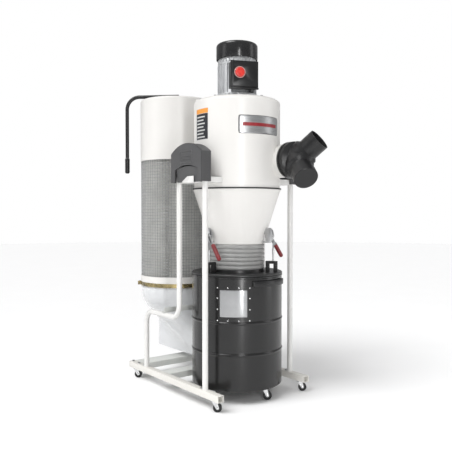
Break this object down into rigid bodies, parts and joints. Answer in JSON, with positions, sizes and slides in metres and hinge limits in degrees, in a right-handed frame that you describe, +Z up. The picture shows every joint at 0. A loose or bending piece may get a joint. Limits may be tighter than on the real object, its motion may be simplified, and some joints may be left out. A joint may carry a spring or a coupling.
{
  "type": "cyclone dust collector",
  "caption": "Two-stage workshop cyclone dust collector with a top motor, canister filter, bag, roll-out drum and wheeled base.",
  "frame": {"origin": "centre of the footprint's bounding box, on the floor", "axes": "+Z up, -Y the front where the drum rolls out and the inlet ports point, +X the machine's right"},
  "size_m": [0.566, 1.1133, 1.616],
  "materials": {
    "white_enamel": "smooth warm white powder coat",
    "frame_enamel": "smooth white powder coat on tube",
    "base_enamel": "pale cream powder coat",
    "grey_enamel": "light grey paint",
    "charcoal_enamel": "satin charcoal powder coat",
    "lid_enamel": "satin charcoal powder coat",
    "zinc_steel": "zinc plated steel",
    "bright_steel": "bright plated steel",
    "cast_alu": "cast aluminium with silver paint",
    "copper_winding": "varnished windings on a laminated core",
    "cover_plastic": "grained dark grey moulded plastic",
    "black_plastic": "fine grained black moulded plastic",
    "black_gloss": "semi gloss black moulding",
    "red_button": "glossy red moulding",
    "red_grip": "dark red dipped vinyl",
    "black_rubber": "black rubber",
    "hose_grey": "grey flexible duct",
    "plate_silver": "brushed silver plate",
    "window_clear": "clear sight window in a riveted frame",
    "filter_paper": "pleated polyester media",
    "mesh_wire": "galvanised wire mesh",
    "band_zinc": "yellow zinc plated band",
    "bag_film": "translucent polyethylene film",
    "wheel_black": "black tread on a plastic hub"
  },
  "bodies": {
    "frame_body": {"base_rails": "base_enamel", "base_cross_members": "grey_enamel", "side_frames": "frame_enamel", "handle_covers": "cover_plastic", "arm_cross_brace": "grey_enamel", "barrel_brackets": "frame_enamel", "frame_bolts": "zinc_steel", "cyclone_barrel": "white_enamel", "blower_top_plate": "white_enamel", "flange_gasket": "black_rubber", "cyclone_cone": "white_enamel", "vortex_tube": "zinc_steel", "y_connector": "black_plastic", "blank_plates": "plate_silver", "outlet_duct": "white_enamel", "motor_housing": "cast_alu", "motor_stator": "copper_winding", "motor_bearings": "bright_steel", "fan_cover": "black_gloss", "switch_box": "black_plastic", "switch_box_cover": "black_plastic", "flex_hose": "hose_grey", "clamp_brackets": "zinc_steel", "filter_head": "white_enamel", "filter_media": "filter_paper", "mesh_guard": "mesh_wire", "filter_collar": "white_enamel", "band_clamp": "band_zinc", "collection_bag": "bag_film"},
    "rotor": {"rotor_shaft": "zinc_steel", "impeller": "cast_alu"},
    "switch_button": {"power_button": "red_button"},
    "inlet_cap": {"port_cap": "black_plastic"},
    "lid": {"drum_lid": "lid_enamel", "clamp_draw_rods": "black_rubber"},
    "lever_1": {"clamp_lever_1": "red_grip"},
    "lever_2": {"clamp_lever_2": "red_grip"},
    "lever_3": {"clamp_lever_3": "red_grip"},
    "drum_unit": {"drum": "charcoal_enamel", "drum_window": "window_clear", "drum_handles": "black_plastic"},
    "crank": {"crank_handle": "black_plastic", "cleaning_paddles": "black_rubber"},
    "latch": {"band_latch": "band_zinc"},
    "base_caster_front_left": {"base_fork_front_left": "bright_steel"},
    "base_roller_front_left": {"base_wheel_front_left": "wheel_black"},
    "base_caster_front_right": {"base_fork_front_right": "bright_steel"},
    "base_roller_front_right": {"base_wheel_front_right": "wheel_black"},
    "base_caster_rear_left": {"base_fork_rear_left": "bright_steel"},
    "base_roller_rear_left": {"base_wheel_rear_left": "wheel_black"},
    "base_caster_rear_right": {"base_fork_rear_right": "bright_steel"},
    "base_roller_rear_right": {"base_wheel_rear_right": "wheel_black"},
    "drum_caster_front": {"drum_fork_front": "bright_steel"},
    "drum_roller_front": {"drum_wheel_front": "wheel_black"},
    "drum_caster_right": {"drum_fork_right": "bright_steel"},
    "drum_roller_right": {"drum_wheel_right": "wheel_black"},
    "drum_caster_rear": {"drum_fork_rear": "bright_steel"},
    "drum_roller_rear": {"drum_wheel_rear": "wheel_black"},
    "drum_caster_left": {"drum_fork_left": "bright_steel"},
    "drum_roller_left": {"drum_wheel_left": "wheel_black"}
  },
  "joints": [
    {"name": "motor_spin", "type": "hinge", "parent": "frame_body", "child": "rotor", "pos_m": [0, -0.15015, 1.4], "axis": [0, 0, 1], "continuous": true},
    {"name": "button_press", "type": "slide", "parent": "frame_body", "child": "switch_button", "axis": [0.3955, 0.9184, 0], "range_m": [0, 0.004], "stiffness_N_per_m": 400},
    {"name": "cap_pull", "type": "slide", "parent": "frame_body", "child": "inlet_cap", "axis": [-0.3045, -0.7193, -0.6244], "range_m": [0, 0.06]},
    {"name": "lid_lift", "type": "slide", "parent": "frame_body", "child": "lid", "axis": [0, 0, 1], "range_m": [0, 0.03], "deforming": ["flex_hose"]},
    {"name": "clamp_1_swing", "type": "hinge", "parent": "frame_body", "child": "lever_1", "pos_m": [0.08325, -0.28875, 0.736], "axis": [0.3156, -0.9489, 0], "range_deg": [0, 76]},
    {"name": "clamp_2_swing", "type": "hinge", "parent": "frame_body", "child": "lever_2", "pos_m": [-0.16165, -0.15294, 0.736], "axis": [-0.9796, 0.2011, 0], "range_deg": [0, 76]},
    {"name": "clamp_3_swing", "type": "hinge", "parent": "frame_body", "child": "lever_3", "pos_m": [0.07841, -0.00876, 0.736], "axis": [0.6639, 0.7478, 0], "range_deg": [0, 76]},
    {"name": "drum_roll_out", "type": "slide", "parent": "frame_body", "child": "drum_unit", "axis": [0, -1, 0], "range_m": [0, 0.6]},
    {"name": "crank_turn", "type": "hinge", "parent": "frame_body", "child": "crank", "pos_m": [0, 0.35865, 1.43], "axis": [0, 0, 1], "range_deg": [-200, 105]},
    {"name": "latch_open", "type": "hinge", "parent": "frame_body", "child": "latch", "pos_m": [-0.18213, 0.45255, 0.471], "axis": [0, 0, 1], "range_deg": [0, 100]},
    {"name": "base_front_left_swivel", "type": "hinge", "parent": "frame_body", "child": "base_caster_front_left", "pos_m": [-0.25, -0.31315, 0.05], "axis": [0, 0, 1], "continuous": true},
    {"name": "base_front_left_roll", "type": "hinge", "parent": "base_caster_front_left", "child": "base_roller_front_left", "pos_m": [-0.24049, -0.32047, 0.019], "axis": [0.6101, 0.7923, 0], "continuous": true},
    {"name": "base_front_right_swivel", "type": "hinge", "parent": "frame_body", "child": "base_caster_front_right", "pos_m": [0.25, -0.31315, 0.05], "axis": [0, 0, 1], "continuous": true},
    {"name": "base_front_right_roll", "type": "hinge", "parent": "base_caster_front_right", "child": "base_roller_front_right", "pos_m": [0.25951, -0.32047, 0.019], "axis": [0.6101, 0.7923, 0], "continuous": true},
    {"name": "base_rear_left_swivel", "type": "hinge", "parent": "frame_body", "child": "base_caster_rear_left", "pos_m": [-0.25, 0.35985, 0.05], "axis": [0, 0, 1], "continuous": true},
    {"name": "base_rear_left_roll", "type": "hinge", "parent": "base_caster_rear_left", "child": "base_roller_rear_left", "pos_m": [-0.24049, 0.35253, 0.019], "axis": [0.6101, 0.7923, 0], "continuous": true},
    {"name": "base_rear_right_swivel", "type": "hinge", "parent": "frame_body", "child": "base_caster_rear_right", "pos_m": [0.25, 0.35985, 0.05], "axis": [0, 0, 1], "continuous": true},
    {"name": "base_rear_right_roll", "type": "hinge", "parent": "base_caster_rear_right", "child": "base_roller_rear_right", "pos_m": [0.25951, 0.35253, 0.019], "axis": [0.6101, 0.7923, 0], "continuous": true},
    {"name": "drum_front_swivel", "type": "hinge", "parent": "drum_unit", "child": "drum_caster_front", "pos_m": [0.029, -0.31461, 0.057], "axis": [0, 0, 1], "continuous": true},
    {"name": "drum_front_roll", "type": "hinge", "parent": "drum_caster_front", "child": "drum_roller_front", "pos_m": [0.03851, -0.32194, 0.02], "axis": [0.6101, 0.7923, 0], "continuous": true},
    {"name": "drum_right_swivel", "type": "hinge", "parent": "drum_unit", "child": "drum_caster_right", "pos_m": [0.16446, -0.12115, 0.057], "axis": [0, 0, 1], "continuous": true},
    {"name": "drum_right_roll", "type": "hinge", "parent": "drum_caster_right", "child": "drum_roller_right", "pos_m": [0.17397, -0.12847, 0.02], "axis": [0.6101, 0.7923, 0], "continuous": true},
    {"name": "drum_rear_swivel", "type": "hinge", "parent": "drum_unit", "child": "drum_caster_rear", "pos_m": [-0.029, 0.01431, 0.057], "axis": [0, 0, 1], "continuous": true},
    {"name": "drum_rear_roll", "type": "hinge", "parent": "drum_caster_rear", "child": "drum_roller_rear", "pos_m": [-0.01949, 0.00699, 0.02], "axis": [0.6101, 0.7923, 0], "continuous": true},
    {"name": "drum_left_swivel", "type": "hinge", "parent": "drum_unit", "child": "drum_caster_left", "pos_m": [-0.16446, -0.17915, 0.057], "axis": [0, 0, 1], "continuous": true},
    {"name": "drum_left_roll", "type": "hinge", "parent": "drum_caster_left", "child": "drum_roller_left", "pos_m": [-0.15496, -0.18647, 0.02], "axis": [0.6101, 0.7923, 0], "continuous": true}
  ],
  "couplings": [
    {"joint": "clamp_1_swing", "follows": "lid_lift", "rad_per_m": 43.6},
    {"joint": "clamp_2_swing", "follows": "lid_lift", "rad_per_m": 43.6},
    {"joint": "clamp_3_swing", "follows": "lid_lift", "rad_per_m": 43.6}
  ]
}
